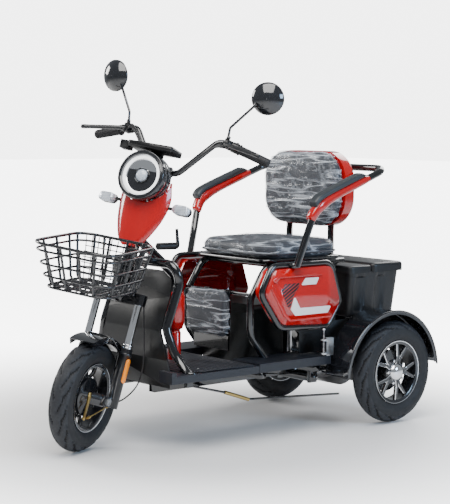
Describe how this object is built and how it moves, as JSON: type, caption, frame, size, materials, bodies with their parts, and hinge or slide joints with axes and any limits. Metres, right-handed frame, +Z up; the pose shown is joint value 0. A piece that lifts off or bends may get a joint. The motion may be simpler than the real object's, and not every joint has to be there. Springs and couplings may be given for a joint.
{
  "type": "adult tricycle",
  "caption": "Adult three-wheeled leisure tricycle with steered front wheel, front basket, padded seat with armrests, folding child seat and rear storage box.",
  "frame": {"origin": "on the ground under the middle of the whole outline", "axes": "+Z up; -Y is the direction of travel, so the rear wheels are at +Y; +X is the rider's left"},
  "size_m": [0.7235, 1.5769, 1.296],
  "materials": {
    "black_paint": "gloss black enamel",
    "red_gloss": "gloss red moulded panel",
    "gloss_black": "gloss black plastic",
    "black_plastic": "textured black plastic",
    "soft_black": "soft armrest skin",
    "mat_rubber": "ribbed floor mat",
    "grip_rubber": "knurled grip",
    "cable_rubber": "cable casing",
    "tyre": "treaded tyre",
    "grey_leather": "grained grey vinyl",
    "cast_aluminium": "painted silver casting",
    "silver_steel": "plain zinc",
    "chrome": "polished chrome",
    "brass": "gold passivated",
    "red_paint": "red coil paint",
    "red_lens": "moulded red lens",
    "clear_lens": "clear lens"
  },
  "bodies": {
    "chassis": {"main_frame": "black_paint", "front_hoop": "black_paint", "side_loops": "black_paint", "seat_frame": "black_paint", "armrest_rail": "black_paint", "armrest_pads": "soft_black", "armrest_shells": "red_gloss", "leg_shield": "black_plastic", "deck_panel": "black_plastic", "floor_mat": "mat_rubber", "side_steps": "black_plastic", "side_panels": "red_gloss", "centre_post_cover": "red_gloss", "battery_case": "black_plastic", "backrest_cushion": "grey_leather", "backrest_shell": "red_gloss", "rear_box": "black_plastic", "rear_mudguards": "gloss_black", "tail_lamp": "red_lens", "bag_hook": "black_plastic", "latch_bracket": "silver_steel", "rear_springs": "red_paint", "brake_rod": "black_paint", "seat_pan": "black_plastic", "seat_cushion": "grey_leather"},
    "child_seat": {"child_seat_frame": "black_paint", "child_seat_pad": "grey_leather"},
    "lid": {"box_lid": "black_plastic"},
    "pin": {"latch_pin": "chrome"},
    "rear_swing": {"rear_axle": "black_paint"},
    "rear_wheel_left": {"rear_rim_left": "cast_aluminium", "rear_tyre_left": "tyre"},
    "rear_wheel_right": {"rear_rim_right": "cast_aluminium", "rear_tyre_right": "tyre"},
    "steering": {"steering_stem": "black_paint", "fork_tubes": "chrome", "handlebar": "black_paint", "grip_left": "grip_rubber", "bar_controls": "black_plastic", "display_unit": "gloss_black", "headlamp_housing": "gloss_black", "headlamp_lens": "clear_lens", "front_shield": "red_gloss", "turn_signals": "clear_lens", "basket": "black_paint", "basket_bracket": "black_paint", "front_brake_cable": "cable_rubber"},
    "throttle": {"throttle_grip": "grip_rubber"},
    "lever_left": {"brake_lever_left": "black_paint"},
    "lever_right": {"brake_lever_right": "black_paint"},
    "mirror_l": {"mirror_left": "gloss_black"},
    "mirror_r": {"mirror_right": "gloss_black"},
    "fork_lower": {"fork_legs": "gloss_black", "front_axle": "silver_steel", "front_brake_plate": "black_paint", "front_mudguard": "black_plastic"},
    "brake_arm": {"front_brake_arm": "brass"},
    "front_wheel": {"front_rim": "cast_aluminium", "front_tyre": "tyre"}
  },
  "joints": [
    {"name": "steering_turn", "type": "hinge", "parent": "chassis", "child": "steering", "pos_m": [0.01584, -0.38438, 0.61199], "axis": [0, 0.3156, 0.9489], "range_deg": [-60, 10]},
    {"name": "fork_travel", "type": "slide", "parent": "steering", "child": "fork_lower", "axis": [0, 0.3156, 0.9489], "range_m": [-0.01, 0.035], "stiffness_N_per_m": 12000, "springref_m": -0.012, "deforming": ["front_brake_cable"]},
    {"name": "front_wheel_spin", "type": "hinge", "parent": "fork_lower", "child": "front_wheel", "pos_m": [0.0399, -0.58136, 0.18332], "axis": [0.9063, 0.401, -0.1334], "continuous": true},
    {"name": "front_brake_arm_turn", "type": "hinge", "parent": "fork_lower", "child": "brake_arm", "pos_m": [0.08466, -0.59389, 0.19486], "axis": [0.9063, 0.401, -0.1334], "range_deg": [0, 11]},
    {"name": "brake_lever_left_pull", "type": "hinge", "parent": "steering", "child": "lever_left", "pos_m": [0.16015, -0.08285, 1.00385], "axis": [0.1624, 0.4369, 0.8847], "range_deg": [0, 22], "stiffness_Nm_per_rad": 0.8, "springref_deg": -20.05},
    {"name": "brake_lever_right_pull", "type": "hinge", "parent": "steering", "child": "lever_right", "pos_m": [-0.20135, -0.2428, 1.05705], "axis": [0.208, -0.273, -0.9393], "range_deg": [0, 22], "stiffness_Nm_per_rad": 0.8, "springref_deg": -20.05},
    {"name": "throttle_twist", "type": "hinge", "parent": "steering", "child": "throttle", "pos_m": [-0.30156, -0.2301, 1.03969], "axis": [-0.962, -0.2309, -0.1459], "range_deg": [0, 60], "stiffness_Nm_per_rad": 0.3, "springref_deg": -14.32},
    {"name": "mirror_left_turn", "type": "hinge", "parent": "steering", "child": "mirror_l", "pos_m": [0.14875, -0.0663, 1.02184], "axis": [0.1624, 0.4369, 0.8847], "range_deg": [-20, 20]},
    {"name": "mirror_right_turn", "type": "hinge", "parent": "steering", "child": "mirror_r", "pos_m": [-0.2017, -0.22136, 1.07342], "axis": [-0.208, 0.273, 0.9393], "range_deg": [-20, 20]},
    {"name": "rear_suspension", "type": "hinge", "parent": "chassis", "child": "rear_swing", "pos_m": [0.01584, 0.26158, 0.186], "axis": [1, 0, 0], "range_deg": [-1.5, 3], "stiffness_Nm_per_rad": 2600, "springref_deg": -6.88, "deforming": ["rear_springs"]},
    {"name": "rear_wheel_left_spin", "type": "hinge", "parent": "rear_swing", "child": "rear_wheel_left", "pos_m": [0.31784, 0.58758, 0.185], "axis": [1, 0, 0], "continuous": true},
    {"name": "rear_wheel_right_spin", "type": "hinge", "parent": "rear_swing", "child": "rear_wheel_right", "pos_m": [-0.28616, 0.58758, 0.185], "axis": [1, 0, 0], "continuous": true},
    {"name": "child_seat_fold", "type": "hinge", "parent": "chassis", "child": "child_seat", "pos_m": [0.01584, 0.01158, 0.489], "axis": [-1, 0, 0], "range_deg": [0, 42]},
    {"name": "lid_open", "type": "hinge", "parent": "chassis", "child": "lid", "pos_m": [0.01584, 0.56358, 0.569], "axis": [1, 0, 0], "range_deg": [0, 70]},
    {"name": "latch_lift", "type": "slide", "parent": "chassis", "child": "pin", "axis": [0, 0, 1], "range_m": [0, 0.015], "stiffness_N_per_m": 200, "springref_m": -0.01}
  ],
  "couplings": [
    {"joint": "front_brake_arm_turn", "follows": "brake_lever_right_pull", "ratio": 0.5}
  ]
}
